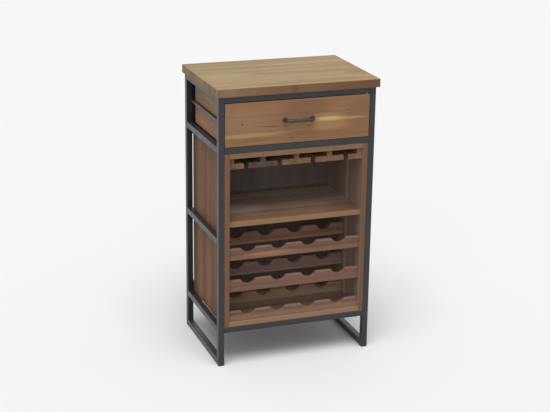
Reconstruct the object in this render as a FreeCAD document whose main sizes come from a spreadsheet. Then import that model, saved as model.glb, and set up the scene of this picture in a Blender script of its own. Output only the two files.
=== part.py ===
import FreeCAD, Part
import math
import os
import re
import Sketcher

# Wine cabinet: a welded square-tube frame that carries a wooden carcass, a thick wooden top and
# one drawer. The frame stands on the floor at z = 0, the front faces -y, and x = 0 is the middle.

doc = FreeCAD.newDocument("wine_cabinet")
sheet = doc.addObject("Spreadsheet::Sheet", "sizes")

DRIVING_SIZES = {
    # Frame
    "frame_width": 580,
    "frame_depth": 412,
    "tube_size": 22,
    "tube_wall": 1.5,
    "tube_corner": 2,
    "ground_clearance": 126,
    "drawer_bay_height": 158,
    "back_rail_height": 54,
    "bearer_inset": 40,
    "bay_back_thickness": 2,
    "bay_back_skirt": 28,
    # Foot glides
    "glide_height": 3,
    "glide_plug": 12,
    "glide_fit": 0.3,
    "glide_ease": 1.2,
    # Top slab
    "slab_thickness": 30,
    "slab_side_overhang": 10,
    "slab_front_overhang": 12,
    "slab_ease": 1.5,
    # Carcass
    "panel_thickness": 18.8,
    "board_thickness": 19,
    "panel_gap": 0.2,
    "carcass_reveal": 1,
    "carcass_top_gap": 0.5,
    "carcass_back_gap": 6,
    "back_panel_thickness": 6,
    "back_panel_inset": 27,
    "inner_setback": 10,
    "housing_depth": 5,
    "board_ease": 1,
    # Notched rails
    "low_rail_height": 37,
    "row_pitch": 119,
    "top_row_headroom": 78,
    "rail_height": 46,
    "front_rail_step": 6,
    "rail_thickness": 18,
    "rail_spacing": 154,
    "notch_margin": 76.5,
    "front_notch_radius": 32,
    "front_notch_depth": 16.5,
    "rear_notch_radius": 34,
    "rear_notch_depth": 21,
    "notch_lip": 5,
    # Hanging rack
    "glass_bay_height": 232.5,
    "glass_slot": 18,
    "spacer_width": 19,
    "spacer_height": 21,
    # Drawer
    "drawer_gap": 1.5,
    "drawer_top_gap": 3,
    "drawer_front_thickness": 18,
    "drawer_back_gap": 26,
    "drawer_board": 14,
    "drawer_side_step": 2.5,
    "drawer_side_lift": 0.5,
    "drawer_side_drop": 3,
    "drawer_back_drop": 10,
    "drawer_lap": 8,
    "drawer_bottom_thickness": 6,
    "drawer_bottom_lift": 10,
    "groove_depth": 6,
    "groove_fit": 0.2,
    # Drawer runner bars
    "runner_width": 16,
    "runner_height": 10,
    "runner_reach": 6,
    "runner_seat": 0.3,
    "runner_play": 0.7,
    "runner_stop": 0.3,
    # Handle
    "handle_pitch": 100,
    "handle_reach": 32,
    "handle_bar": 12,
    "handle_bend": 15,
    "handle_foot": 17,
    "handle_foot_height": 4,
    "handle_lift": 7,
    # Fasteners
    "screw_shank": 5,
    "screw_head": 9,
    "screw_head_height": 3,
    "screw_bite": 12,
    "screw_fit": 0.3,
    "screw_inset": 45,
    "rack_screw_shank": 4,
    "rack_screw_head": 8,
    "handle_screw_shank": 4,
    "handle_screw_bite": 9,
}

NOTCH_COUNT = 4
ROW_NAMES = ("low", "middle", "high")

DERIVED_SIZES = {
    # Widths, from the middle of the cabinet outwards
    "half_width": "=frame_width / 2",
    "post_inner": "=half_width - tube_size",
    "panel_outer": "=post_inner - panel_gap",
    "inner_half": "=panel_outer - panel_thickness",
    "inner_width": "=2 * inner_half",
    "clear_width": "=2 * post_inner",
    # Depths, from the front of the frame backwards
    "front_plane": "=(handle_reach - frame_depth) / 2",
    "back_plane": "=front_plane + frame_depth",
    "rail_run": "=frame_depth - 2 * tube_size",
    "carcass_front": "=front_plane + carcass_reveal",
    "carcass_depth": "=frame_depth - tube_size - carcass_back_gap - carcass_reveal",
    "back_panel_face": "=carcass_depth - back_panel_inset - back_panel_thickness",
    "rear_rail_setback": "=inner_setback + rail_spacing",
    "bearer_front": "=carcass_front + carcass_depth - bearer_inset - tube_size",
    # Heights, from the floor upwards
    "carcass_floor": "=ground_clearance + tube_size",
    "first_row": "=board_thickness + low_rail_height",
    "shelf_rise": "=first_row + 2 * row_pitch + top_row_headroom",
    "ceiling_rise": "=shelf_rise + board_thickness + glass_bay_height",
    "carcass_height": "=ceiling_rise + board_thickness",
    "carcass_ceiling": "=carcass_floor + ceiling_rise",
    "drawer_rail": "=carcass_floor + carcass_height + carcass_top_gap",
    "middle_rail": "=(carcass_floor + drawer_rail - tube_size) / 2",
    "drawer_floor": "=drawer_rail + tube_size",
    "top_rail": "=drawer_floor + drawer_bay_height",
    "frame_top": "=top_rail + tube_size",
    # Notched rails
    "rail_length": "=inner_width + 2 * housing_depth",
    "notch_run": "=inner_width - 2 * notch_margin",
    # Hanging rack
    "glass_pitch": "=inner_width / 4",
    "glass_board_width": "=glass_pitch - glass_slot",
    "glass_board_length": "=back_panel_face - inner_setback",
    "glass_board_floor": "=carcass_ceiling - spacer_height - board_thickness",
    # Drawer
    "drawer_front_width": "=clear_width - 2 * drawer_gap",
    "drawer_front_height": "=drawer_bay_height - drawer_gap - drawer_top_gap",
    "drawer_front_floor": "=drawer_floor + drawer_gap",
    "drawer_half": "=drawer_front_width / 2 - drawer_side_step",
    "drawer_side_floor": "=drawer_front_floor + drawer_side_lift",
    "drawer_side_height": "=drawer_front_height - drawer_side_lift - drawer_side_drop",
    "drawer_length": "=frame_depth - tube_size - drawer_back_gap",
    "drawer_side_start": "=drawer_front_thickness - drawer_lap",
    "drawer_side_length": "=drawer_length - drawer_side_start",
    "bottom_groove": "=drawer_bottom_thickness + groove_fit",
    "groove_floor": "=drawer_front_thickness - groove_depth",
    "bottom_half": "=drawer_half - drawer_board + groove_depth - groove_fit",
    "bottom_start": "=groove_floor + groove_fit",
    "back_floor": "=drawer_bottom_lift + bottom_groove",
    "back_half": "=drawer_half - drawer_board + groove_depth",
    # Drawer runner bars
    "runner_inner": "=drawer_half - runner_reach",
    "runner_floor": "=drawer_floor + (drawer_bay_height - runner_height) / 2",
    "runner_groove_floor": "=runner_floor - runner_play - drawer_side_floor",
    "runner_groove_height": "=runner_height + runner_seat + runner_play",
    "runner_groove_depth": "=runner_reach + runner_play",
    "runner_groove_length": "=drawer_length - tube_size + runner_stop",
    # Handle, a little above the middle of the drawer front
    "handle_rise": "=drawer_front_height / 2 + handle_lift",
    # Fasteners
    "screw_hole": "=screw_shank + 2 * screw_fit",
    "screw_length": "=tube_size + screw_bite",
    "pilot_depth": "=screw_bite + screw_fit",
    "rack_screw_hole": "=rack_screw_shank + 2 * screw_fit",
    "rack_sink": "=rack_screw_head + 2 * screw_fit",
    "rack_screw_length": "=board_thickness + spacer_height + screw_bite - screw_head_height",
    "handle_screw_hole": "=handle_screw_shank + 2 * screw_fit",
}

for row, (alias, value) in enumerate({**DRIVING_SIZES, **DERIVED_SIZES}.items(), start=1):
    sheet.set(f"A{row}", alias)
    sheet.set(f"B{row}", str(value))
    sheet.setAlias(f"B{row}", alias)
doc.recompute()

SUB_PARTS = []
# Edges closer than this to a plane lie on it
HAIRLINE_SHARE = 0.01
HAIRLINE = DRIVING_SIZES["groove_fit"] * HAIRLINE_SHARE
# Small round metal has flats: screws and their holes six, the handle's bar and feet twelve
SCREW_FLAT_COUNT = 6
BAR_FLAT_COUNT = 12


def size(formula):
    """A formula in the sheet's own names, written for an object outside the sheet."""
    return re.sub(r"[a-z]\w*", r"sizes.\g<0>", formula)


def now(formula):
    """What a formula of the sheet comes to, for drawing an outline before it is tied."""
    return float(sheet.evalExpression(formula))


def seat(piece, x, y, z):
    """Put a piece in the cabinet, its corner or axis at formulas of the sheet."""
    for axis, formula in zip("xyz", (x, y, z)):
        piece.setExpression(f"Placement.Base.{axis}", size(formula))


def new_body(label):
    body = doc.addObject("PartDesign::Body", label)
    body.Label = label
    SUB_PARTS.append(body)
    return body


def origin_feature(body, role):
    return next(feature for feature in body.Origin.OriginFeatures if feature.Role == role)


def new_sketch(body, role, lift="0"):
    """A sketch on one of the body's own planes, lifted off it along its normal."""
    sketch = body.newObject("Sketcher::SketchObject", "outline")
    sketch.AttachmentSupport = [(origin_feature(body, role), "")]
    sketch.MapMode = "FlatFace"
    sketch.setExpression("AttachmentOffset.Base.z", size(lift))
    return sketch


def tie(sketch, constraint, formula):
    """Add a constraint whose value follows a formula of the sheet."""
    index = sketch.addConstraint(constraint)
    name = f"value{index}"
    sketch.renameConstraint(index, name)
    sketch.setExpression(f"Constraints.{name}", size(formula))


def rectangle(sketch, width, height, left="0", low="0"):
    first = sketch.GeometryCount
    x0 = now(left)
    y0 = now(low)
    x1 = x0 + now(width)
    y1 = y0 + now(height)
    corners = [FreeCAD.Vector(x, y) for x, y in ((x0, y0), (x1, y0), (x1, y1), (x0, y1))]
    sides = range(first, first + len(corners))
    for corner, following in zip(corners, corners[1:] + corners[:1]):
        sketch.addGeometry(Part.LineSegment(corner, following))
    for side, following in zip(sides, list(sides[1:]) + [first]):
        sketch.addConstraint(Sketcher.Constraint("Coincident", side, 2, following, 1))
    for side, way in zip(sides, ("Horizontal", "Vertical", "Horizontal", "Vertical")):
        sketch.addConstraint(Sketcher.Constraint(way, side))
    tie(sketch, Sketcher.Constraint("DistanceX", first, 1, first, 2, x1 - x0), width)
    tie(sketch, Sketcher.Constraint("DistanceY", first + 1, 1, first + 1, 2, y1 - y0), height)
    tie(sketch, Sketcher.Constraint("DistanceX", -1, 1, first, 1, x0), left)
    tie(sketch, Sketcher.Constraint("DistanceY", -1, 1, first, 1, y0), low)


def circle(sketch, diameter, x, y, guide=False):
    """A round outline, or a guide that other outlines follow."""
    centre = FreeCAD.Vector(now(x), now(y))
    radius = now(diameter) / 2
    ring = sketch.addGeometry(Part.Circle(centre, FreeCAD.Vector(0, 0, 1), radius), guide)
    tie(sketch, Sketcher.Constraint("Diameter", ring, 2 * radius), diameter)
    tie(sketch, Sketcher.Constraint("DistanceX", -1, 1, ring, 3, centre.x), x)
    tie(sketch, Sketcher.Constraint("DistanceY", -1, 1, ring, 3, centre.y), y)
    return ring


def flats(sketch, count, diameter, x, y):
    """A regular outline of flat sides with its corners on a circle, one corner to the right."""
    ring = circle(sketch, diameter, x, y, guide=True)
    first = sketch.GeometryCount
    centre = sketch.Geometry[ring].Center
    radius = sketch.Geometry[ring].Radius
    turns = [2 * math.pi * i / count for i in range(count)]
    corners = [centre + radius * FreeCAD.Vector(math.cos(turn), math.sin(turn)) for turn in turns]
    for i in range(count):
        sketch.addGeometry(Part.LineSegment(corners[i], corners[(i + 1) % count]))
    for i in range(count):
        following = first + (i + 1) % count
        sketch.addConstraint(Sketcher.Constraint("Coincident", first + i, 2, following, 1))
        sketch.addConstraint(Sketcher.Constraint("PointOnObject", first + i, 1, ring))
        if i:
            sketch.addConstraint(Sketcher.Constraint("Equal", first, first + i))
    sketch.addConstraint(Sketcher.Constraint("Horizontal", ring, 3, first, 1))


def pad(body, sketch, length, back=False):
    feature = body.newObject("PartDesign::Pad", "pad")
    feature.Profile = sketch
    feature.setExpression("Length", size(length))
    feature.Reversed = back
    doc.recompute()
    return feature


def pocket(body, sketch, depth=None, with_normal=False):
    """Cut a sketch into the body, against or with its normal, and see that it cut."""
    before = body.Shape.Volume
    feature = body.newObject("PartDesign::Pocket", "cut")
    feature.Profile = sketch
    feature.Reversed = with_normal
    if depth is None:
        feature.Type = "ThroughAll"
    else:
        feature.setExpression("Length", size(depth))
    doc.recompute()
    if not body.Shape.Volume < before:
        raise RuntimeError(f"{body.Label}: a cut misses the piece")
    return feature


def ease(body, kind, width, keep):
    """Round or bevel the edges that keep() picks."""
    solid = body.Tip
    edges = enumerate(solid.Shape.Edges, start=1)
    names = [f"Edge{i}" for i, edge in edges if keep(edge.BoundBox)]
    feature = body.newObject(f"PartDesign::{kind}", "ease")
    feature.Base = (solid, names)
    feature.setExpression("Radius" if kind == "Fillet" else "Size", size(width))
    doc.recompute()


def box_body(label, width, depth, height, x, y, z):
    """A plain board, its lower front left corner at x, y, z."""
    body = new_body(label)
    sketch = new_sketch(body, "XY_Plane")
    rectangle(sketch, width, depth)
    pad(body, sketch, height)
    seat(body, x, y, z)
    return body


def ease_front(body, axis):
    """Take the sharpness off the front edges that run along one axis."""
    run = {"x": "XLength", "z": "ZLength"}[axis]
    ease(body, "Chamfer", "board_ease", lambda b: getattr(b, run) > HAIRLINE and b.YMax < HAIRLINE)


# Frame tubes: square or upright tube with rounded corners, cut square and welded face to face
TUBE_PLANES = {"x": "YZ_Plane", "y": "XZ_Plane", "z": "XY_Plane"}


def tube(label, run, length, x, y, z, height="tube_size"):
    body = new_body(label)
    sketch = new_sketch(body, TUBE_PLANES[run])
    rectangle(sketch, "tube_size", height)
    walls = "2 * tube_wall"
    rectangle(sketch, f"tube_size - {walls}", f"{height} - {walls}", "tube_wall", "tube_wall")
    pad(body, sketch, length, back=run == "y")
    outer = body.Tip.Shape.BoundBox

    def is_corner(b):
        for axis in "XYZ".replace(run.upper(), ""):
            low = abs(getattr(b, f"{axis}Max") - getattr(outer, f"{axis}Min"))
            high = abs(getattr(b, f"{axis}Min") - getattr(outer, f"{axis}Max"))
            if min(low, high) > HAIRLINE:
                return False
        return True

    ease(body, "Fillet", "tube_corner", is_corner)
    seat(body, x, y, z)
    return body


LEFT_POST = "-half_width"
RIGHT_POST = "post_inner"
FRONT_POST = "front_plane"
BACK_POST = "back_plane - tube_size"
SIDES = {"left": LEFT_POST, "right": RIGHT_POST}
ENDS = {"front": FRONT_POST, "back": BACK_POST}

# Four posts on plugged-in glides
for end, y in ENDS.items():
    for side, x in SIDES.items():
        tube(f"post_{end}_{side}", "z", "frame_top - glide_height", x, y, "glide_height")
        glide = box_body(f"glide_{end}_{side}", "tube_size", "tube_size", "glide_height", x, y, "0")
        ease(glide, "Chamfer", "glide_ease", lambda b: b.ZMax < HAIRLINE)
        plug = new_sketch(glide, "XY_Plane", "glide_height")
        side_of_plug = "tube_size - 2 * tube_wall - 2 * glide_fit"
        rectangle(plug, side_of_plug, side_of_plug, "tube_wall + glide_fit", "tube_wall + glide_fit")
        pad(glide, plug, "glide_plug")

# Side rails between the posts. The floor rails turn each side into a sled.
SIDE_RAILS = {
    "floor": "glide_height",
    "bottom": "ground_clearance",
    "middle": "middle_rail",
    "drawer": "drawer_rail",
    "top": "top_rail",
}
SCREW_PLACES = ("screw_inset", "rail_run - screw_inset")
for side, x in SIDES.items():
    for level, z in SIDE_RAILS.items():
        rail = tube(f"side_rail_{level}_{side}", "y", "rail_run", x, "front_plane + tube_size", z)
        if level == "top":
            holes = new_sketch(rail, "XY_Plane")
            for place in SCREW_PLACES:
                flats(holes, SCREW_FLAT_COUNT, "screw_hole", "tube_size / 2", place)
            pocket(rail, holes, with_normal=True)

# Cross rails between the left and right posts. The bottom front rail and the rear bearer carry
# the carcass, which is screwed down from below. The bottom back rail is a taller tube.
CROSS_RAILS = {
    "front_rail_bottom": (FRONT_POST, "ground_clearance"),
    "front_rail_drawer": (FRONT_POST, "drawer_rail"),
    "front_rail_top": (FRONT_POST, "top_rail"),
    "back_rail_bottom": (BACK_POST, "ground_clearance"),
    "back_rail_top": (BACK_POST, "top_rail"),
    "rear_bearer": ("bearer_front", "ground_clearance"),
}
CARCASS_SCREW_PLACES = ("screw_inset + tube_size", "clear_width - tube_size - screw_inset")
for label, (y, z) in CROSS_RAILS.items():
    height = "back_rail_height" if label == "back_rail_bottom" else "tube_size"
    rail = tube(label, "x", "clear_width", "-post_inner", y, z, height)
    if label in ("front_rail_bottom", "rear_bearer"):
        holes = new_sketch(rail, "XY_Plane")
        for place in CARCASS_SCREW_PLACES:
            flats(holes, SCREW_FLAT_COUNT, "screw_hole", place, "tube_size / 2")
        pocket(rail, holes, with_normal=True)

# Sheet that closes the drawer bay behind the drawer, welded between the back posts, its skirt
# hanging behind the carcass
box_body(
    "drawer_bay_back",
    "clear_width",
    "bay_back_thickness",
    "bay_back_skirt + tube_size + drawer_bay_height",
    "-post_inner",
    "back_plane - (tube_size + bay_back_thickness) / 2",
    "drawer_rail - bay_back_skirt",
)

# Flat runner bars between front and back posts, standing into the drawer's grooves
for side, x in {"left": "-runner_inner - runner_width", "right": "runner_inner"}.items():
    runner_y = "front_plane + tube_size"
    box_body(f"runner_{side}", "runner_width", "rail_run", "runner_height", x, runner_y, "runner_floor")

# Top slab of glued staves, screwed from below through the top side rails
slab = box_body(
    "top_slab",
    "frame_width + 2 * slab_side_overhang",
    "frame_depth + slab_front_overhang",
    "slab_thickness",
    "-half_width - slab_side_overhang",
    "front_plane - slab_front_overhang",
    "frame_top",
)
ease(slab, "Chamfer", "slab_ease", lambda b: True)
pilots = new_sketch(slab, "XY_Plane")
for x in ("slab_side_overhang + tube_size / 2", "slab_side_overhang + frame_width - tube_size / 2"):
    for place in SCREW_PLACES:
        flats(pilots, SCREW_FLAT_COUNT, "screw_hole", x, f"slab_front_overhang + tube_size + {place}")
pocket(slab, pilots, "pilot_depth", with_normal=True)

# Side panels with stopped housings for the boards and the notched rails, and a full-height groove
# for the back panel
BOARD_FLOORS = {"carcass_bottom_board": "0", "shelf": "shelf_rise", "carcass_top_board": "ceiling_rise"}
ROW_FLOORS = {"low": "board_thickness"}
for i, name in enumerate(ROW_NAMES[1:], start=1):
    ROW_FLOORS[name] = f"first_row + {i} * row_pitch - rail_height"
RAIL_ROWS = {"front": "inner_setback", "rear": "rear_rail_setback"}


def rail_size(end, row):
    """Height of a notched rail: the lowest ones stand on the bottom board, the front ones are lower."""
    height = "low_rail_height" if row == "low" else "rail_height"
    return f"({height} - front_rail_step)" if end == "front" else height


for side, x in {"left": "-panel_outer", "right": "inner_half"}.items():
    panel = box_body(
        f"side_panel_{side}",
        "panel_thickness",
        "carcass_depth",
        "carcass_height",
        x,
        "carcass_front",
        "carcass_floor",
    )
    ease_front(panel, "z")
    inner_face = "panel_thickness" if side == "left" else "0"
    with_normal = side == "right"
    housings = new_sketch(panel, "YZ_Plane", inner_face)
    for floor in BOARD_FLOORS.values():
        depth = "back_panel_face - inner_setback"
        rectangle(housings, depth, "board_thickness", "inner_setback", floor)
    for end, setback in RAIL_ROWS.items():
        for row, floor in ROW_FLOORS.items():
            rectangle(housings, "rail_thickness", rail_size(end, row), setback, floor)
    pocket(panel, housings, "housing_depth", with_normal=with_normal)
    groove = new_sketch(panel, "YZ_Plane", inner_face)
    rectangle(groove, "back_panel_thickness", "carcass_height", "back_panel_face")
    pocket(panel, groove, "housing_depth", with_normal=with_normal)

# Top board, shelf and bottom board. Top and bottom come flush with the front, notched round the
# stopped ends of their housings, and the shelf stands back.
for label, floor in BOARD_FLOORS.items():
    setback = "inner_setback" if label == "shelf" else "0"
    board = box_body(
        label,
        "rail_length",
        f"back_panel_face - {setback}",
        "board_thickness",
        "-inner_half - housing_depth",
        f"carcass_front + {setback}",
        f"carcass_floor + {floor}",
    )
    ease_front(board, "x")
    if label != "shelf":
        notches = new_sketch(board, "XY_Plane")
        for left in ("0", "rail_length - housing_depth"):
            rectangle(notches, "housing_depth", "inner_setback", left)
        pocket(board, notches, with_normal=True)
    if label == "carcass_bottom_board":
        pilots = new_sketch(board, "XY_Plane")
        for place in CARCASS_SCREW_PLACES:
            x = f"{place} - post_inner + inner_half + housing_depth"
            for y in (FRONT_POST, "bearer_front"):
                flats(pilots, SCREW_FLAT_COUNT, "screw_hole", x, f"{y} - carcass_front + tube_size / 2")
        pocket(board, pilots, "pilot_depth", with_normal=True)
    if label == "carcass_top_board":
        ceiling_board = board

# Back panel, slid into the grooves of the side panels
box_body(
    "back_panel",
    "rail_length",
    "back_panel_thickness",
    "carcass_height",
    "-inner_half - housing_depth",
    "carcass_front + back_panel_face",
    "carcass_floor",
)

# Notched rails: a row of round notches with rolled lips, each front rail lower than its rear one
for end, setback in RAIL_ROWS.items():
    for row, floor in ROW_FLOORS.items():
        rail = box_body(
            f"bottle_rail_{end}_{row}",
            "rail_length",
            "rail_thickness",
            rail_size(end, row),
            "-inner_half - housing_depth",
            f"carcass_front + {setback}",
            f"carcass_floor + {floor}",
        )
        notch = new_sketch(rail, "XZ_Plane")
        rise = f"{rail_size(end, row)} + {end}_notch_radius - {end}_notch_depth"
        circle(notch, f"2 * {end}_notch_radius", "housing_depth + notch_margin", rise)
        first_notch = pocket(rail, notch)
        notches = rail.newObject("PartDesign::LinearPattern", "notches")
        notches.Originals = [first_notch]
        notches.Direction = (origin_feature(rail, "X_Axis"), [""])
        notches.setExpression("Length", size("notch_run"))
        notches.Occurrences = NOTCH_COUNT
        rail.Tip = notches
        doc.recompute()
        ends = notches.Shape.BoundBox

        def is_lip(b):
            on_top = b.ZMin > ends.ZMax - HAIRLINE and b.YLength > HAIRLINE
            return on_top and b.XMin > ends.XMin + HAIRLINE and b.XMax < ends.XMax - HAIRLINE

        ease(rail, "Fillet", "notch_lip", is_lip)

# Hanging rack: boards hung from the top board on spacers, with open slots between them
GLASS_BOARDS = {
    "left_end": ("-inner_half", "glass_board_width / 2", "0"),
    "left": ("-glass_pitch - glass_board_width / 2", "glass_board_width", None),
    "centre": ("-glass_board_width / 2", "glass_board_width", None),
    "right": ("glass_pitch - glass_board_width / 2", "glass_board_width", None),
    "right_end": ("inner_half - glass_board_width / 2", "glass_board_width / 2",
                  "glass_board_width / 2 - spacer_width"),
}
RACK_SCREW_PLACES = ("screw_inset", "glass_board_length - screw_inset")
rack_screw_spots = []
ceiling_pilots = new_sketch(ceiling_board, "XY_Plane")
for name, (x, width, spacer_x) in GLASS_BOARDS.items():
    rack_front = "carcass_front + inner_setback"
    board = box_body(
        f"glass_board_{name}",
        width,
        "glass_board_length",
        "board_thickness",
        x,
        rack_front,
        "glass_board_floor",
    )
    ease_front(board, "x")
    if spacer_x is None:
        spacer_x = f"{width} / 2 - spacer_width / 2"
    spacer = box_body(
        f"glass_spacer_{name}",
        "spacer_width",
        "glass_board_length",
        "spacer_height",
        f"{x} + {spacer_x}",
        rack_front,
        "glass_board_floor + board_thickness",
    )
    screw_x = f"{spacer_x} + spacer_width / 2"
    through_spacer = new_sketch(spacer, "XY_Plane")
    through_board = new_sketch(board, "XY_Plane")
    head_seats = new_sketch(board, "XY_Plane")
    for place in RACK_SCREW_PLACES:
        flats(through_spacer, SCREW_FLAT_COUNT, "rack_screw_hole", "spacer_width / 2", place)
        flats(through_board, SCREW_FLAT_COUNT, "rack_screw_hole", screw_x, place)
        flats(head_seats, SCREW_FLAT_COUNT, "rack_sink", screw_x, place)
        ceiling_x = f"{x} + {screw_x} + inner_half + housing_depth"
        flats(ceiling_pilots, SCREW_FLAT_COUNT, "rack_screw_hole", ceiling_x, f"inner_setback + {place}")
        rack_screw_spots.append((f"{x} + {screw_x}", f"{rack_front} + {place}", "glass_board_floor"))
    pocket(spacer, through_spacer, with_normal=True)
    pocket(board, through_board, with_normal=True)
    pocket(board, head_seats, "screw_head_height", with_normal=True)
pocket(ceiling_board, ceiling_pilots, "pilot_depth", with_normal=True)

# Drawer front: lapped at both ends over the sides, grooved for the bottom
drawer_front = box_body(
    "drawer_front",
    "drawer_front_width",
    "drawer_front_thickness",
    "drawer_front_height",
    "-drawer_front_width / 2",
    "front_plane",
    "drawer_front_floor",
)
ease(drawer_front, "Chamfer", "board_ease", lambda b: b.YMax < HAIRLINE)
laps = new_sketch(drawer_front, "XY_Plane")
lap_width = "drawer_side_step + drawer_board"
for left in ("0", f"drawer_front_width - ({lap_width})"):
    rectangle(laps, lap_width, "drawer_lap", left, "drawer_side_start")
pocket(drawer_front, laps, with_normal=True)
groove = new_sketch(drawer_front, "YZ_Plane")
rectangle(groove, "groove_depth", "bottom_groove", "groove_floor", "drawer_side_lift + drawer_bottom_lift")
pocket(drawer_front, groove, with_normal=True)
HANDLE_SIDES = {"left": "-handle_pitch / 2", "right": "handle_pitch / 2"}
holes = new_sketch(drawer_front, "XZ_Plane")
for x in HANDLE_SIDES.values():
    flats(holes, SCREW_FLAT_COUNT, "handle_screw_hole", f"drawer_front_width / 2 + {x}", "handle_rise")
pocket(drawer_front, holes)

# Drawer sides: a runner groove outside, the bottom's groove and the back's housing inside
for side, x in {"left": "-drawer_half", "right": "drawer_half - drawer_board"}.items():
    board = box_body(
        f"drawer_side_{side}",
        "drawer_board",
        "drawer_side_length",
        "drawer_side_height",
        x,
        "front_plane + drawer_side_start",
        "drawer_side_floor",
    )
    outside = "0" if side == "left" else "drawer_board - runner_groove_depth"
    inside = "drawer_board - groove_depth" if side == "left" else "0"
    # The runner groove stops short of the front: its end meets the bar when the drawer is shut
    groove = new_sketch(board, "XZ_Plane", "-drawer_side_length")
    rectangle(groove, "runner_groove_depth", "runner_groove_height", outside, "runner_groove_floor")
    pocket(board, groove, "runner_groove_length", with_normal=True)
    groove = new_sketch(board, "XZ_Plane")
    rectangle(groove, "groove_depth", "bottom_groove", inside, "drawer_bottom_lift")
    pocket(board, groove)
    housing = new_sketch(board, "XY_Plane", "back_floor")
    rectangle(housing, "groove_depth", "drawer_board", inside, "drawer_side_length - 2 * drawer_board")
    pocket(board, housing, with_normal=True)

box_body(
    "drawer_back",
    "2 * back_half",
    "drawer_board",
    "drawer_side_height - back_floor - drawer_back_drop",
    "-back_half",
    "front_plane + drawer_length - 2 * drawer_board",
    "drawer_side_floor + back_floor",
)
box_body(
    "drawer_bottom",
    "2 * bottom_half",
    "drawer_length - bottom_start",
    "drawer_bottom_thickness",
    "-bottom_half",
    "front_plane + bottom_start",
    "drawer_side_floor + drawer_bottom_lift",
)

# Bow handle: bar bent back into two turned feet
handle = new_body("drawer_handle")
seat(handle, "0", "front_plane", "drawer_front_floor + handle_rise")
half_pitch = now("handle_pitch / 2")
bend = now("handle_bend")
stand_off = now("handle_reach - handle_bar / 2")
leg = stand_off - bend
slant_share = math.sqrt(0.5)
turn_x = half_pitch - bend * (1 - slant_share)
turn_y = leg + bend * slant_share
bow_half = ((half_pitch, 0), (half_pitch, leg), (turn_x, turn_y), (half_pitch - bend, stand_off))
foot_left, leg_left, turn_left, bar_left = (FreeCAD.Vector(-x, -y) for x, y in bow_half)
foot_right, leg_right, turn_right, bar_right = (FreeCAD.Vector(x, -y) for x, y in bow_half)
bow = new_sketch(handle, "XY_Plane")
bow.addGeometry(Part.LineSegment(foot_left, leg_left))
bow.addGeometry(Part.Arc(leg_left, turn_left, bar_left))
bow.addGeometry(Part.LineSegment(bar_left, bar_right))
bow.addGeometry(Part.Arc(bar_right, turn_right, leg_right))
bow.addGeometry(Part.LineSegment(leg_right, foot_right))
for upright in (0, 4):
    bow.addConstraint(Sketcher.Constraint("Vertical", upright))
bow.addConstraint(Sketcher.Constraint("Horizontal", 2))
for stretch in range(bow.GeometryCount - 1):
    bow.addConstraint(Sketcher.Constraint("Tangent", stretch, 2, stretch + 1, 1))
bow.addConstraint(Sketcher.Constraint("Equal", 1, 3))
bow.addConstraint(Sketcher.Constraint("PointOnObject", 0, 1, -1))
bow.addConstraint(Sketcher.Constraint("Symmetric", 0, 1, 4, 2, -2))
tie(bow, Sketcher.Constraint("Radius", 1, bend), "handle_bend")
tie(bow, Sketcher.Constraint("DistanceX", 0, 1, 4, 2, 2 * half_pitch), "handle_pitch")
tie(bow, Sketcher.Constraint("DistanceY", 2, 1, -1, 1, stand_off), "handle_reach - handle_bar / 2")
bar = new_sketch(handle, "XZ_Plane")
flats(bar, BAR_FLAT_COUNT, "handle_bar", HANDLE_SIDES["left"], "0")
doc.recompute()
pipe = handle.newObject("PartDesign::AdditivePipe", "bar")
pipe.Profile = bar
pipe.Spine = (bow, [f"Edge{i}" for i in range(1, bow.GeometryCount + 1)])
doc.recompute()
feet = new_sketch(handle, "XZ_Plane")
for x in HANDLE_SIDES.values():
    flats(feet, BAR_FLAT_COUNT, "handle_foot", x, "0")
pad(handle, feet, "handle_foot_height")
taps = new_sketch(handle, "XZ_Plane")
for x in HANDLE_SIDES.values():
    flats(taps, SCREW_FLAT_COUNT, "handle_screw_hole", x, "0")
pocket(handle, taps, "handle_screw_bite + screw_fit", with_normal=True)


# Fasteners: each kind is one group of separate, identical screws
UPWARDS = FreeCAD.Rotation()
FORWARDS = FreeCAD.Rotation(FreeCAD.Vector(1, 0, 0), 90)


def rod(name, diameter, length, turn):
    piece = doc.addObject("Part::Prism", name)
    piece.Polygon = SCREW_FLAT_COUNT
    piece.setExpression("Circumradius", size(f"({diameter}) / 2"))
    piece.setExpression("Height", size(length))
    piece.Placement = FreeCAD.Placement(FreeCAD.Vector(), turn)
    return piece


def screw_group(label, head_size, shank_size, shank_length, spots, turn=UPWARDS):
    """Screws whose heads sit with their inner faces at the given spots, shanks pointing onwards."""
    screws = []
    for x, y, z in spots:
        head = rod("head", head_size, "screw_head_height", turn)
        if turn is UPWARDS:
            seat(head, x, y, f"{z} - screw_head_height")
        else:
            seat(head, x, f"{y} + screw_head_height", z)
        shank = rod("shank", shank_size, shank_length, turn)
        seat(shank, x, y, z)
        screw = doc.addObject("Part::Fuse", "screw")
        screw.Base = head
        screw.Tool = shank
        screws.append(screw)
    compound = doc.addObject("Part::Compound", label)
    compound.Label = label
    compound.Links = screws
    SUB_PARTS.append(compound)


frame_spots = [
    (f"{x} + tube_size / 2", f"front_plane + tube_size + {place}", "top_rail")
    for x in SIDES.values()
    for place in SCREW_PLACES
]
frame_spots += [
    (f"{place} - post_inner", f"{y} + tube_size / 2", "ground_clearance")
    for place in CARCASS_SCREW_PLACES
    for y in (FRONT_POST, "bearer_front")
]
screw_group("frame_screws", "screw_head", "screw_shank", "screw_length", frame_spots)

rack_spots = [(x, y, f"{z} + screw_head_height") for x, y, z in rack_screw_spots]
screw_group("rack_screws", "rack_screw_head", "rack_screw_shank", "rack_screw_length", rack_spots)

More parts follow.
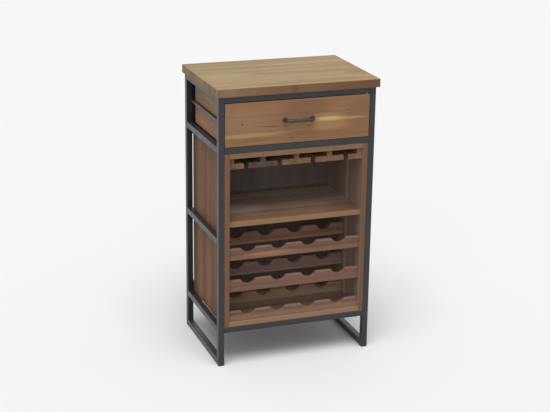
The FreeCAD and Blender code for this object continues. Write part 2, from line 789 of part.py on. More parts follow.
handle_spots = [
    (x, "front_plane + drawer_front_thickness", "drawer_front_floor + handle_rise")
    for x in HANDLE_SIDES.values()
]
handle_screw_length = "drawer_front_thickness + handle_screw_bite"
screw_group(
    "handle_screws", "screw_head", "handle_screw_shank", handle_screw_length, handle_spots, FORWARDS
)

doc.recompute()
failed = [item.Label for item in doc.Objects if {"Invalid", "Error"} & set(item.State)]
if failed:
    raise RuntimeError(f"failed: {failed}")
for part in SUB_PARTS:
    if part.Shape.isNull() or not part.Shape.isValid():
        raise RuntimeError(f"{part.Label} has no sound shape")

os.makedirs("parts", exist_ok=True)
for part in SUB_PARTS:
    part.Shape.exportStep(f"parts/{part.Label}.step")
print(len(SUB_PARTS), "sub-parts")
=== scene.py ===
import math

import bmesh
import bpy
from mathutils import Matrix, Vector


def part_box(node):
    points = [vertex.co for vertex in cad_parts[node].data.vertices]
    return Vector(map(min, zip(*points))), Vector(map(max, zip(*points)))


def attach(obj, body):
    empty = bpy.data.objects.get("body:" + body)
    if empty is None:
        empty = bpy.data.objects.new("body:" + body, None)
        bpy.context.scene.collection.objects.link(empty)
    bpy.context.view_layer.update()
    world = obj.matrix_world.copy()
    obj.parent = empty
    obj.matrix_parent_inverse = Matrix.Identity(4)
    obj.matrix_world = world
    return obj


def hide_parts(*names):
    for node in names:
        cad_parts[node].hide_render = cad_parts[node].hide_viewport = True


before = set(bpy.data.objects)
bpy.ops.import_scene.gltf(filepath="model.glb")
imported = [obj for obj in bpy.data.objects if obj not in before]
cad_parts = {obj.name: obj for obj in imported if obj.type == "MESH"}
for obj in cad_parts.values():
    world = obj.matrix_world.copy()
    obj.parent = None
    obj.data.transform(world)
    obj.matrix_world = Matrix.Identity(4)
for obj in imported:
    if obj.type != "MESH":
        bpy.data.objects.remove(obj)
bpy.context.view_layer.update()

# Frame: posts, rails and a hidden bearer of square steel tube, cut square, welded and ground flush,
# with a thin steel sheet welded between the back posts behind the drawer.
# It has one sprayed coat of satin charcoal paint with a faint orange peel, rubbed thin on the corners.


def node(tree, kind, inputs=None, **settings):
    """Add a shader node, set its options, and link or fill its inputs by name."""
    made = tree.nodes.new("ShaderNode" + kind)
    for option, value in settings.items():
        setattr(made, option, value)
    for name, value in (inputs or {}).items():
        if isinstance(value, bpy.types.NodeSocket):
            tree.links.new(value, made.inputs[name])
        else:
            made.inputs[name].default_value = value
    return made


def new_finish(name, roughness, ior=1.45):
    """A fresh material: its node tree, its main shader and the place on the object in metres."""
    material = bpy.data.materials.new(name)
    material.use_nodes = True
    tree = material.node_tree
    shader = tree.nodes["Principled BSDF"]
    shader.inputs["Roughness"].default_value = roughness
    shader.inputs["IOR"].default_value = ior
    place = node(tree, "TexCoord").outputs["Object"]
    return material, tree, shader, place


def sums(tree, operation, first, second=0.0, third=0.0):
    """One step of arithmetic on numbers or sockets."""
    step = node(tree, "Math", {0: first, 1: second, 2: third}, operation=operation)
    return step.outputs["Value"]


def noise(tree, place, scale, detail=2.0, roughness=0.5):
    """Soft clouds of chance, about as many to the metre as the scale says."""
    inputs = {"Vector": place, "Scale": scale, "Detail": detail, "Roughness": roughness}
    return node(tree, "TexNoise", inputs).outputs["Fac"]


def stretch(tree, value, low, high, to_low=0.0, to_high=1.0):
    """Spread the part of a value between low and high over a new range, smoothly."""
    inputs = {"Value": value, "From Min": low, "From Max": high, "To Min": to_low, "To Max": to_high}
    return node(tree, "MapRange", inputs, interpolation_type="SMOOTHSTEP").outputs["Result"]


def opaque(colour):
    return (*colour, 1.0)


MIX_SHARE, MIX_FIRST, MIX_SECOND = 0, 6, 7
MIX_RESULT = 2


def blend(tree, share, first, second, kind="MIX"):
    """Mix two colours, each a socket or plain red, green and blue."""
    mixed = node(tree, "Mix", data_type="RGBA", blend_type=kind)
    for socket, value in ((MIX_SHARE, share), (MIX_FIRST, first), (MIX_SECOND, second)):
        if isinstance(value, bpy.types.NodeSocket):
            tree.links.new(value, mixed.inputs[socket])
        else:
            mixed.inputs[socket].default_value = value if socket == MIX_SHARE else opaque(value)
    return mixed.outputs[MIX_RESULT]


def raise_grain(tree, shader, height, depth):
    """Let a height in the range 0 to 1 stand out by a depth in metres."""
    bump = node(tree, "Bump", {"Height": height, "Distance": depth, "Strength": 1.0})
    tree.links.new(bump.outputs["Normal"], shader.inputs["Normal"])


SLANT_BEGINS = 0.15
SLANT_FULL = 0.45


def edge_share(tree):
    """One on rounded or bevelled edges between square faces, nothing on the faces."""
    facing = node(tree, "NewGeometry").outputs["True Normal"]
    x, y, z = node(tree, "SeparateXYZ", {"Vector": facing}).outputs
    slants = [sums(tree, "ABSOLUTE", sums(tree, "MULTIPLY", a, b)) for a, b in ((x, y), (y, z), (z, x))]
    most = sums(tree, "MAXIMUM", sums(tree, "MAXIMUM", slants[0], slants[1]), slants[2])
    return stretch(tree, most, SLANT_BEGINS, SLANT_FULL)


def coat(names, material):
    """Give CAD nodes their finish."""
    for name in names:
        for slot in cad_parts[name].material_slots:
            slot.material = material


PAINT_ROUGHNESS = 0.38
PAINT_SHEEN = (0.33, 0.45)
PAINT_IOR = 1.5
CLOUDS_PER_METRE = 14.0
CLOUD_LIGHTER = 1.3
RUBS_PER_METRE = 38.0
SPECKS_PER_METRE = 160.0
SPECK_SHARE = 0.35
PEEL_PER_METRE = 900.0
PEEL_DEPTH = 0.00003


def satin_paint(name, colour, rubbed, wear):
    """Sprayed satin paint: fine orange peel, soft clouds in the sheen, corners rubbed thin."""
    material, tree, shader, place = new_finish(name, PAINT_ROUGHNESS, PAINT_IOR)
    clouds = noise(tree, place, CLOUDS_PER_METRE, detail=4.0, roughness=0.6)
    lighter = tuple(CLOUD_LIGHTER * c for c in colour)
    toned = blend(tree, stretch(tree, clouds, 0.35, 0.7), colour, lighter)
    patches = noise(tree, place, RUBS_PER_METRE, detail=6.0, roughness=0.7)
    corners = sums(tree, "MULTIPLY", stretch(tree, patches, 0.48, 0.70), edge_share(tree))
    rubs = sums(tree, "MULTIPLY", corners, wear)
    dots = noise(tree, place, SPECKS_PER_METRE, detail=6.0, roughness=0.7)
    specks = sums(tree, "MULTIPLY", stretch(tree, dots, 0.66, 0.78), SPECK_SHARE)
    share = sums(tree, "MAXIMUM", rubs, specks)
    tree.links.new(blend(tree, share, toned, rubbed), shader.inputs["Base Color"])
    tree.links.new(stretch(tree, clouds, 0.3, 0.7, *PAINT_SHEEN), shader.inputs["Roughness"])
    raise_grain(tree, shader, noise(tree, place, PEEL_PER_METRE, detail=1.0), PEEL_DEPTH)
    return material


CHARCOAL = (0.019, 0.019, 0.024)
CHARCOAL_RUBBED = (0.060, 0.060, 0.066)
SIDES = ("left", "right")
ENDS = ("front", "back")
posts = [f"post_{end}_{side}" for end in ENDS for side in SIDES]
LEVELS = ("floor", "bottom", "middle", "drawer", "top")
side_rails = [f"side_rail_{level}_{side}" for level in LEVELS for side in SIDES]
cross_rails = [f"front_rail_{level}" for level in ("bottom", "drawer", "top")]
cross_rails += ["back_rail_bottom", "back_rail_top", "rear_bearer", "drawer_bay_back"]
frame_paint = satin_paint("frame_paint", CHARCOAL, CHARCOAL_RUBBED, wear=0.5)
coat(posts + side_rails + cross_rails, frame_paint)

# Glides: moulded caps of black plastic, pushed into the open lower ends of the posts.
# They have a dull skin with a fine grain, and keep the steel off the floor.
GLIDE_BLACK = (0.012, 0.012, 0.013)
GLIDE_WORN = (0.030, 0.030, 0.031)
SCUFFS_PER_METRE = 220.0
SKIN_PER_METRE = 1600.0
SKIN_DEPTH = 0.00004
material, tree, shader, place = new_finish("glide_plastic", roughness=0.6)
scuffs = stretch(tree, noise(tree, place, SCUFFS_PER_METRE, detail=4.0), 0.5, 0.7)
tree.links.new(blend(tree, scuffs, GLIDE_BLACK, GLIDE_WORN), shader.inputs["Base Color"])
raise_grain(tree, shader, noise(tree, place, SKIN_PER_METRE), SKIN_DEPTH)
coat([f"glide_{end}_{side}" for end in ENDS for side in SIDES], material)

# Runner bars: flat steel bar welded between the posts, on which the drawer slides in its grooves.
# They have the frame's paint, rubbed through a little by the drawer.
RUNNER_RUBBED = (0.10, 0.10, 0.105)
runner_paint = satin_paint("runner_paint", CHARCOAL, RUNNER_RUBBED, wear=0.8)
coat([f"runner_{side}" for side in SIDES], runner_paint)

# Carcass: panels and boards of glued solid staves, sanded, stained warm brown and oiled matt.
# Each stave has its own tone and figure, the boards sit in housings, and the back is thin boarding.
HEART = ((0.085, 0.042, 0.022), (0.215, 0.112, 0.057), (0.310, 0.170, 0.088), (0.420, 0.250, 0.135))
SAPWOOD = (0.700, 0.490, 0.215)
REDDER = (1.05, 0.95, 0.91)
GREENER = (0.95, 1.02, 0.94)
END_GRAIN = (0.96, 0.88, 0.78)


def tinted(tones, *shares):
    """The same tones with their red, green and blue changed by a share each, or by one share for all."""
    return tuple(tuple(c * shares[i % len(shares)] for i, c in enumerate(tone)) for tone in tones)


STAVE_UNEVENNESS = 0.55
SEAM_WIDTH = 0.0010


def stave_cells(tree, across, width, shift):
    """Split a direction into staves of uneven width: the chance numbers of each, and its seams."""
    lane = sums(tree, "MULTIPLY_ADD", across, 1.0 / width, shift)
    inputs = {"W": lane, "Scale": 1.0, "Randomness": STAVE_UNEVENNESS}
    cells = node(tree, "TexVoronoi", inputs, voronoi_dimensions="1D")
    chances = node(tree, "SeparateColor", {"Color": cells.outputs["Color"]}).outputs
    edges = node(tree, "TexVoronoi", inputs, voronoi_dimensions="1D", feature="DISTANCE_TO_EDGE")
    seam = stretch(tree, edges.outputs["Distance"], 0.0, SEAM_WIDTH / width, 1.0, 0.0)
    return chances, seam


END_BEGINS = 0.75
END_FULL = 0.95


def end_share(tree, along):
    """One on the sawn ends of the staves, nothing on their other faces."""
    facing = node(tree, "NewGeometry").outputs["True Normal"]
    towards = node(tree, "SeparateXYZ", {"Vector": facing}).outputs[along]
    return stretch(tree, sums(tree, "ABSOLUTE", towards), END_BEGINS, END_FULL)


MARK_CORE = 0.35
MARK_SWAY = 0.8


def paint_marks(tree, run, side, streaks, colour, marks):
    """Bands, flecks and knots: ovals of another colour, drawn out along the grain.
    Each has its middle along and across, half its length and width, slope, colour and strength."""
    sway = sums(tree, "MULTIPLY_ADD", streaks, 2.0 * MARK_SWAY, -MARK_SWAY)
    for at, across, length, width, slope, tint, strength in marks:
        along_off = sums(tree, "MULTIPLY_ADD", run, 1.0 / length, -at / length)
        line = sums(tree, "MULTIPLY_ADD", run, -slope / width, (slope * at - across) / width)
        across_off = sums(tree, "ADD", sums(tree, "MULTIPLY_ADD", side, 1.0 / width, line), sway)
        oval = node(tree, "CombineXYZ", {"X": along_off, "Y": across_off}).outputs["Vector"]
        far = node(tree, "VectorMath", {0: oval}, operation="LENGTH").outputs["Value"]
        colour = blend(tree, stretch(tree, far, MARK_CORE, 1.0, strength, 0.0), colour, tint)
    return colour


OIL_ROUGHNESS = 0.6
OIL_SHEEN = (0.68, 0.52)
OIL_SPECULAR = 0.2
PITH_LEAN = 0.05
PITH_SIDE = 0.1
PITH_DEPTH = 0.02
PITH_DEPTH_SPREAD = 0.08
WAVERS_PER_METRE = 7.0
WAVER_SHORTENED = 2.5
WAVER_SIZE = 0.05
RING_RATE = 900.0
RING_SHARE = 0.04
END_RING_SHARE = 0.10
RING_HEIGHT = 0.12
STAVE_JUMP = 37.0
FIBRE_SHARE = 0.45
PORE_SHARE = 0.30
SEAM_SHARE = 0.40
EDGE_PALER_AND_HIGHLIGHT_SHARE = 0.30
GRAIN_DEPTH = 0.00018


def timber(
    name, along, across, width, shift, tones=HEART, spread=0.4, figure=0.8, marks=(), joint=None, painted_shading=None
):
    """Glued staves of oiled wood. Grain runs along one axis and staves lie side by side on another.
    Painted shading makes part of the wood greyer and brighter or darker, standing in for the light that
    falls there: the last argument gives an axis, where that begins, where it is full, the share of colour
    that is left, the share of brightness, and any marks that show only there."""
    dark, brown, warm, pale = tones
    material, tree, shader, place = new_finish(name, OIL_ROUGHNESS)
    shader.inputs["Specular IOR Level"].default_value = OIL_SPECULAR
    axes = dict(zip("XYZ", node(tree, "SeparateXYZ", {"Vector": place}).outputs))
    run = axes[along]
    side = axes[across]
    depth = next(axes[axis] for axis in "XYZ" if axis not in (along, across))
    chances, seam = stave_cells(tree, side, width, shift)
    luck, tint, drift = (chances[colour] for colour in ("Red", "Green", "Blue"))

    # Rings round a pith that lies off the stave and leans along it, so faces show arches
    lean = sums(tree, "MULTIPLY_ADD", drift, 2.0 * PITH_LEAN, -PITH_LEAN)
    pith_side = sums(tree, "MULTIPLY_ADD", run, lean, sums(tree, "MULTIPLY", luck, PITH_SIDE))
    waver_run = sums(tree, "MULTIPLY", run, WAVER_SHORTENED)
    waver_place = node(tree, "CombineXYZ", {"X": waver_run, "Y": side, "Z": luck}).outputs["Vector"]
    waver = noise(tree, waver_place, WAVERS_PER_METRE, detail=3.0)
    to_side = sums(tree, "SUBTRACT", side, pith_side)
    to_depth = sums(tree, "ADD", depth, sums(tree, "MULTIPLY_ADD", tint, PITH_DEPTH_SPREAD, PITH_DEPTH))
    pith = node(tree, "CombineXYZ", {"X": to_side, "Y": to_depth}).outputs["Vector"]
    radius = node(tree, "VectorMath", {0: pith}, operation="LENGTH").outputs["Value"]
    wavered = sums(tree, "MULTIPLY_ADD", waver, WAVER_SIZE, radius)
    rings = sums(tree, "SINE", sums(tree, "MULTIPLY", wavered, RING_RATE))

    # Long soft bands, fine fibres and short dark pores, shifted on each stave
    stave_shift = sums(tree, "MULTIPLY", luck, STAVE_JUMP)

    def drawn_out(along_scale, across_scale, detail):
        drawn = node(tree, "CombineXYZ", {
            "X": sums(tree, "MULTIPLY_ADD", run, along_scale, stave_shift),
            "Y": sums(tree, "MULTIPLY", side, across_scale),
            "Z": sums(tree, "MULTIPLY", depth, across_scale),
        })
        return noise(tree, drawn.outputs["Vector"], scale=1.0, detail=detail, roughness=0.6)

    streaks = drawn_out(along_scale=1.5, across_scale=34.0, detail=4.0)
    fibres = drawn_out(along_scale=6.0, across_scale=420.0, detail=2.0)
    pores = stretch(tree, drawn_out(along_scale=30.0, across_scale=1100.0, detail=2.0), 0.58, 0.72)

    tone = sums(tree, "MULTIPLY_ADD", luck, spread, 0.5 - 0.5 * spread)
    tone = sums(tree, "MULTIPLY_ADD", streaks, figure, sums(tree, "ADD", tone, -0.5 * figure))
    tone = sums(tree, "MULTIPLY_ADD", fibres, FIBRE_SHARE, sums(tree, "ADD", tone, -0.5 * FIBRE_SHARE))
    sawn_end = end_share(tree, along)
    ring_share = sums(tree, "MULTIPLY_ADD", sawn_end, END_RING_SHARE, RING_SHARE)
    tone = sums(tree, "MULTIPLY_ADD", rings, ring_share, tone)
    ramp = node(tree, "ValToRGB", {"Fac": tone})
    stops = ramp.color_ramp.elements
    stops[0].position, stops[0].color = 0.05, opaque(dark)
    stops[1].position, stops[1].color = 0.95, opaque(pale)
    for share, colour in ((0.35, brown), (0.62, warm)):
        stops.new(share).color = opaque(colour)
    colour = blend(tree, 1.0, ramp.outputs["Color"], blend(tree, tint, GREENER, REDDER), "MULTIPLY")
    colour = blend(tree, sawn_end, colour, END_GRAIN, "MULTIPLY")
    if joint:
        colour = joint(tree, run, side, colour)
    colour = paint_marks(tree, run, side, streaks, colour, marks)
    # Painted shading: the greyed colour, made brighter or darker, stands in for the light on this part of
    # the wood
    if painted_shading:
        axis, begin, full, colour_left, brightness, *painted_shading_marks = painted_shading
        inputs = {"Saturation": colour_left, "Value": brightness, "Color": colour}
        greyed = node(tree, "HueSaturation", inputs).outputs["Color"]
        greyed = paint_marks(tree, run, side, streaks, greyed, painted_shading_marks)
        colour = blend(tree, stretch(tree, axes[axis], begin, full), colour, greyed)
    # Paler eased edges: partly sanded edges showing lighter wood, partly a painted highlight where light
    # catches the arrises
    colour = blend(tree, sums(tree, "MULTIPLY", edge_share(tree), EDGE_PALER_AND_HIGHLIGHT_SHARE), colour, pale)
    colour = blend(tree, sums(tree, "MULTIPLY", pores, PORE_SHARE), colour, dark)
    colour = blend(tree, sums(tree, "MULTIPLY", seam, SEAM_SHARE), colour, dark)
    tree.links.new(colour, shader.inputs["Base Color"])
    tree.links.new(stretch(tree, streaks, 0.3, 0.7, *OIL_SHEEN), shader.inputs["Roughness"])
    height = sums(tree, "SUBTRACT", sums(tree, "MULTIPLY", rings, RING_HEIGHT), pores)
    raise_grain(tree, shader, sums(tree, "SUBTRACT", height, seam), GRAIN_DEPTH)
    return material


PANEL_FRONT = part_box("side_panel_left")[0].y
PANEL_MID = 0.47
FULL_LENGTH = 5.0
EDGE_BAND = 0.0016
LEFT_EDGE = (PANEL_MID, PANEL_FRONT, FULL_LENGTH, EDGE_BAND, 0.0, (0.228, 0.119, 0.076), 0.75)
RIGHT_EDGE = (PANEL_MID, PANEL_FRONT, FULL_LENGTH, EDGE_BAND, 0.0, (0.198, 0.105, 0.070), 0.75)
# Painted light: a lighter grey band toward the rear of the right panel lifts the shade there
REAR_LIGHT_BAND = (PANEL_MID, 0.1250, FULL_LENGTH, 0.060, 0.0, (0.300, 0.205, 0.160), 0.40)
PALE_STAVE = (PANEL_MID, -0.0515, FULL_LENGTH, 0.019, 0.0, (0.536, 0.435, 0.373), 0.60)
# Painted shadow: a dark olive band along the rear edge of the left panel, where the back post shades it
POST_SHADOW_BAND = (PANEL_MID, 0.1780, FULL_LENGTH, 0.050, 0.0, (0.068, 0.060, 0.043), 0.68)
WARM_STAVE = (PANEL_MID, 0.0680, FULL_LENGTH, 0.052, 0.0, (0.230, 0.108, 0.048), 0.40)
DARK_STAVE = (PANEL_MID, -0.0900, FULL_LENGTH, 0.110, 0.0, (0.086, 0.032, 0.013), 0.50)
PANEL_TONES = ((0.075, 0.036, 0.016), (0.175, 0.088, 0.040), (0.250, 0.130, 0.060), (0.340, 0.190, 0.090))
# Painted shading: a thin skin of each inner face is greyed to the neutral colour of the shaded interior
# and brightened to lift its shade
LEFT_FACE_PAINTED_SHADING = ("X", -0.2505, -0.2495, 0.50, 1.15)
RIGHT_FACE_PAINTED_SHADING = ("X", 0.2505, 0.2495, 0.58, 1.34, PALE_STAVE)
PANELS = {
    "left": (3.3, (POST_SHADOW_BAND, WARM_STAVE, DARK_STAVE, LEFT_EDGE), LEFT_FACE_PAINTED_SHADING),
    "right": (10.3, (REAR_LIGHT_BAND, RIGHT_EDGE), RIGHT_FACE_PAINTED_SHADING),
}
for side, (shift, marks, painted_shading) in PANELS.items():
    panel_wood = timber(
        f"panel_wood_{side}", "Z", "Y", width=0.062, shift=shift, tones=PANEL_TONES,
        spread=0.45, figure=0.5, marks=marks, painted_shading=painted_shading,
    )
    coat([f"side_panel_{side}"], panel_wood)
# Painted light and shade: the left part of the shelf is lightened where the left panel shades it, and its
# right front end is darkened
SHELF_LIGHT_AND_SHADE = (
    (-0.170, -0.045, 0.130, 0.070, 0.0, (0.420, 0.260, 0.160), 0.55),
    (0.235, -0.120, 0.120, 0.120, 0.0, (0.110, 0.062, 0.040), 0.55),
)
BOARDS = {
    "carcass_top_board": (11.0, 0.90, (), (0.297, 0.166, 0.095), 1.15),
    "shelf": (16.0, 0.76, SHELF_LIGHT_AND_SHADE, (0.347, 0.207, 0.118), 2.10),
    "carcass_bottom_board": (21.0, 0.90, (), (0.375, 0.238, 0.148), 1.15),
}
# Painted shading: the boards grow greyer and brighter from the front edge inwards, lifting the dim,
# neutral shade inside the carcass
PAINTED_SHADING_INWARDS = ("Y", -0.185, 0.04, 0.50)
BOARD_EDGE_STRENGTH = 0.78
for name, (shift, share, marks, edge_colour, brightness) in BOARDS.items():
    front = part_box(name)[0].y
    front_edge = (0.0, front, FULL_LENGTH, EDGE_BAND, 0.0, edge_colour, BOARD_EDGE_STRENGTH)
    board_wood = timber(
        f"{name}_wood", "X", "Y", width=0.075, shift=shift, tones=tinted(HEART, share),
        spread=0.35, figure=0.6, marks=(*marks, front_edge), painted_shading=(*PAINTED_SHADING_INWARDS, brightness),
    )
    coat([name], board_wood)
# Painted shade: the inner face of the back is greyed and darkened to the colour of the shaded interior
BACK_FACE_PAINTED_SHADE = ("Y", 0.1655, 0.1625, 0.40, 0.74)
back_wood = timber(
    "back_wood", "Z", "X", width=0.095, shift=2.2, tones=tinted(HEART, 0.85),
    spread=0.10, figure=0.4, painted_shading=BACK_FACE_PAINTED_SHADE,
)
coat(["back_panel"], back_wood)

# Notched rails: solid strips with four round notches sawn in the top edge and their lips rounded over.
# The ends are glued into the side panels, and each front rail lies lower than the rear one of its row.
# Painted highlight: a paler band along the crest of the front rails, where light catches the rounded lips
CREST_HIGHLIGHT = (0.305, 0.220, 0.145)
CREST_BAND = 0.002
FOOT_RISE = 0.004
FOOT_BAND = 0.016
GOLDEN = (0.440, 0.245, 0.115)
GOLDEN_RISE = 0.013
RAIL_STAVE = 0.16
ROW_SHIFT = 3.1
# Painted light and shade: each row lists its front shares, its foot colour and its rear shares. The front
# shares darken the wood and tint it bluish like the shade under the shelf above, and the rear shares
# brighten the rear rails and tint them bluish to lift their deeper shade.
RAIL_ROWS = {
    "low": ((0.63, 0.70, 1.12), (0.333, 0.196, 0.123), (1.40, 1.70, 2.40)),
    "middle": ((0.64, 0.60, 0.87), (0.250, 0.137, 0.088), (0.84, 1.05, 1.75)),
    "high": ((0.66, 0.63, 0.92), (0.285, 0.158, 0.101), (1.27, 1.33, 1.70)),
}
for index, (row, (front_painted_shade, foot_painted_light, rear_painted_light)) in enumerate(RAIL_ROWS.items()):
    foot, crest = (corner.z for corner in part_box(f"bottle_rail_front_{row}"))
    # Painted light: a lighter band over the lower part of each front rail lifts the shade there, and the
    # crest band is a painted highlight on the rounded lips
    marks = [
        (0.0, foot + FOOT_RISE, FULL_LENGTH, FOOT_BAND, 0.0, foot_painted_light, 0.70),
        (0.0, crest, FULL_LENGTH, CREST_BAND, 0.0, CREST_HIGHLIGHT, 0.50),
    ]
    if row == "high":
        marks.append((-0.095, foot + GOLDEN_RISE, 0.130, 0.013, 0.0, GOLDEN, 0.65))
    front_rail_wood = timber(
        f"front_rail_wood_{row}", "X", "Z", RAIL_STAVE, shift=1.7 + ROW_SHIFT * index,
        tones=tinted(HEART, *front_painted_shade), spread=0.3, marks=marks,
    )
    coat([f"bottle_rail_front_{row}"], front_rail_wood)
    rear_rail_wood = timber(
        f"rear_rail_wood_{row}", "X", "Z", RAIL_STAVE, shift=11.0 + ROW_SHIFT * index,
        tones=tinted(HEART, *rear_painted_light), spread=0.3,
    )
    coat([f"bottle_rail_rear_{row}"], rear_rail_wood)

# Hanging rack: boards hung under the top board on spacer strips, with open slots between them.
# They are the carcass wood, grain from front to back, screwed up through the spacers.
RACK_BOARD_SHARES = {
    "left_end": (0.95, 1.13, 1.50),
    "left": (0.46, 0.58, 0.99),
    "centre": (0.93, 1.07, 1.24),
    "right": (0.92, 1.09, 1.40),
    "right_end": (0.86, 1.05, 1.60),
}
RACK_SHIFT = 2.3
for index, (board, shares) in enumerate(RACK_BOARD_SHARES.items()):
    rack_wood = timber(
        f"rack_wood_{board}", "Y", "X", width=0.13, shift=6.4 + RACK_SHIFT * index,
        tones=tinted(HEART, *shares), spread=0.3,
    )
    coat([f"glass_board_{board}", f"glass_spacer_{board}"], rack_wood)

# Drawer: a wide front of glued boards over plain sides, back and bottom, housed and grooved together.
# Pale sapwood runs along two of the front's boards, one butts on another beside the handle, and a few
# small knots and drying checks show.
KNOT = (0.060, 0.030, 0.018)
RUST = (0.230, 0.085, 0.040)
CHECK = (0.115, 0.055, 0.028)
BUTT_AT = 0.0565
BUTT_BLUR = 0.0003
BUTT_TOP = 0.8995
TOP_BLUR = 0.0004
REDDISH_BOARD = (0.300, 0.150, 0.082)
REDDISH_SHARE = 0.5
CRACK_HALF = 0.0009
CRACK_SHARE = 0.45
FRONT_MARKS = (
    (-0.190, 0.9000, 0.130, 0.0700, 0.00, (0.370, 0.232, 0.132), 0.60),
    (0.030, 0.9400, 0.130, 0.0450, 0.00, (0.240, 0.130, 0.070), 0.65),
    (0.235, 0.9250, 0.070, 0.0350, 0.00, (0.250, 0.135, 0.078), 0.55),
    (0.116, 0.8730, 0.095, 0.0300, 0.00, (0.450, 0.255, 0.118), 0.75),
    (0.112, 0.8930, 0.085, 0.0320, -0.02, (0.410, 0.275, 0.120), 0.80),
    (0.112, 0.8897, 0.064, 0.0105, -0.02, SAPWOOD, 0.85),
    (0.180, 0.8887, 0.105, 0.0075, -0.02, SAPWOOD, 0.42),
    (-0.185, 0.8518, 0.160, 0.0110, -0.01, (0.470, 0.315, 0.140), 0.80),
    (-0.050, 0.8560, 0.130, 0.0055, 0.03, (0.440, 0.275, 0.135), 0.55),
    (-0.112, 0.8795, 0.075, 0.0016, -0.04, CHECK, 0.75),
    (-0.230, 0.8700, 0.060, 0.0012, 0.01, CHECK, 0.45),
    (0.039, 0.8715, 0.014, 0.0030, -0.03, CHECK, 0.55),
    (-0.206, 0.8910, 0.0050, 0.0040, 0.0, KNOT, 0.80),
    (-0.155, 0.8430, 0.0065, 0.0034, 0.0, KNOT, 0.70),
    (-0.025, 0.8320, 0.0070, 0.0032, 0.0, KNOT, 0.60),
    (0.185, 0.9180, 0.0080, 0.0020, 0.0, RUST, 0.70),
    (0.152, 0.9330, 0.0140, 0.0016, 0.05, RUST, 0.60),
    (0.232, 0.8570, 0.0110, 0.0028, 0.08, RUST, 0.45),
    (-0.252, 0.9220, 0.0060, 0.0050, 0.0, RUST, 0.35),
    (-0.114, 0.9380, 0.0160, 0.0020, 0.0, CHECK, 0.45),
)


def butted_board(tree, run, side, colour):
    """The lower right board of the front, redder and plainer, butted on its neighbour with a fine seam."""
    low = stretch(tree, side, BUTT_TOP - TOP_BLUR, BUTT_TOP + TOP_BLUR, 1.0, 0.0)
    beyond = stretch(tree, run, BUTT_AT - BUTT_BLUR, BUTT_AT + BUTT_BLUR)
    share = sums(tree, "MULTIPLY", sums(tree, "MULTIPLY", low, beyond), REDDISH_SHARE)
    colour = blend(tree, share, colour, REDDISH_BOARD)
    off = sums(tree, "ABSOLUTE", sums(tree, "SUBTRACT", run, BUTT_AT))
    crack = sums(tree, "MULTIPLY", stretch(tree, off, BUTT_BLUR, CRACK_HALF, CRACK_SHARE, 0.0), low)
    return blend(tree, crack, colour, CHECK)


front_wood = timber(
    "drawer_wood", "X", "Z", width=0.085, shift=4.1, tones=tinted(HEART, 1.17, 1.20, 1.24),
    spread=0.16, figure=0.40, marks=FRONT_MARKS, joint=butted_board,
)
coat(["drawer_front"], front_wood)
SIDE_MARKS = (
    (0.0, 0.935, FULL_LENGTH, 0.035, 0.0, (0.400, 0.290, 0.160), 0.45),
    (0.0, 0.845, FULL_LENGTH, 0.040, 0.0, (0.360, 0.210, 0.140), 0.45),
)
for index, side in enumerate(SIDES):
    side_wood = timber(
        f"drawer_side_wood_{side}", "Y", "Z", width=0.15, shift=8.2 + index, tones=tinted(HEART, 1.2),
        spread=0.3, marks=SIDE_MARKS,
    )
    coat([f"drawer_side_{side}"], side_wood)
coat(["drawer_back"], timber("drawer_back_wood", "X", "Z", width=0.15, shift=1.4, spread=0.3))
coat(["drawer_bottom"], timber("drawer_bottom_wood", "X", "Y", width=0.12, shift=9.6, spread=0.3))

# Handle: a bow of round steel bar bent back into two turned feet, screwed on from inside the drawer.
# Its dark paint is burnished by use along the bar.
HANDLE_BLACK = (0.022, 0.021, 0.020)
HANDLE_RUBBED = (0.075, 0.073, 0.070)
HANDLE_HEIGHT = 0.89825
FRONT_FACE = -0.190
HALF_PITCH = 0.050
BAR_OFF = 0.026
BAR_RADIUS = 0.006
BEND = 0.015
FOOT_PROFILE = (
    (0.0084, 0.0), (0.0085, 0.0006), (0.0085, 0.0026), (0.0081, 0.0036), (0.0070, 0.0041),
    (0.0065, 0.0047), (0.0060, 0.0062),
)
ROUND_STEPS = 28
BEND_STEPS = 14
SHARP_ANGLE = math.radians(35.0)
UP = Vector((0.0, 0.0, 1.0))


def skin_rings(mesh, rings):
    """Join rows of points, each a closed ring, into a tube."""
    rows = [[mesh.verts.new(point) for point in ring] for ring in rings]
    for row, following in zip(rows, rows[1:]):
        for i in range(len(row)):
            j = (i + 1) % len(row)
            mesh.faces.new((row[i], row[j], following[j], following[i]))
    return rows


def finished_piece(name, mesh, material, body, replaced):
    """Turn a built mesh into a smooth piece that rides on a body and stands for CAD nodes."""
    bmesh.ops.recalc_face_normals(mesh, faces=mesh.faces)
    data = bpy.data.meshes.new(name)
    mesh.to_mesh(data)
    mesh.free()
    data.materials.append(material)
    data.set_sharp_from_angle(angle=SHARP_ANGLE)
    piece = bpy.data.objects.new(name, data)
    bpy.context.scene.collection.objects.link(piece)
    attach(piece, body)
    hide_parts(*replaced)


turns = [2.0 * math.pi * i / ROUND_STEPS for i in range(ROUND_STEPS)]
half_path = [(HALF_PITCH, off, 0.0, radius) for radius, off in FOOT_PROFILE]
for step in range(BEND_STEPS + 1):
    turn = 0.5 * math.pi * step / BEND_STEPS
    x = HALF_PITCH - BEND + BEND * math.cos(turn)
    half_path.append((x, BAR_OFF - BEND + BEND * math.sin(turn), turn, BAR_RADIUS))
bar_rings = []
for x, off, turn, radius in [(-x, *rest) for x, *rest in half_path] + half_path[::-1]:
    middle = Vector((x, FRONT_FACE - off, HANDLE_HEIGHT))
    outwards = Vector((math.copysign(math.cos(turn), x), -math.sin(turn), 0.0))
    bar_rings.append([middle + radius * (math.cos(t) * outwards + math.sin(t) * UP) for t in turns])
bow = bmesh.new()
rows = skin_rings(bow, bar_rings)
for base in (rows[0], rows[-1]):
    bow.faces.new(base)
handle_paint = satin_paint("handle_paint", HANDLE_BLACK, HANDLE_RUBBED, wear=0.5)
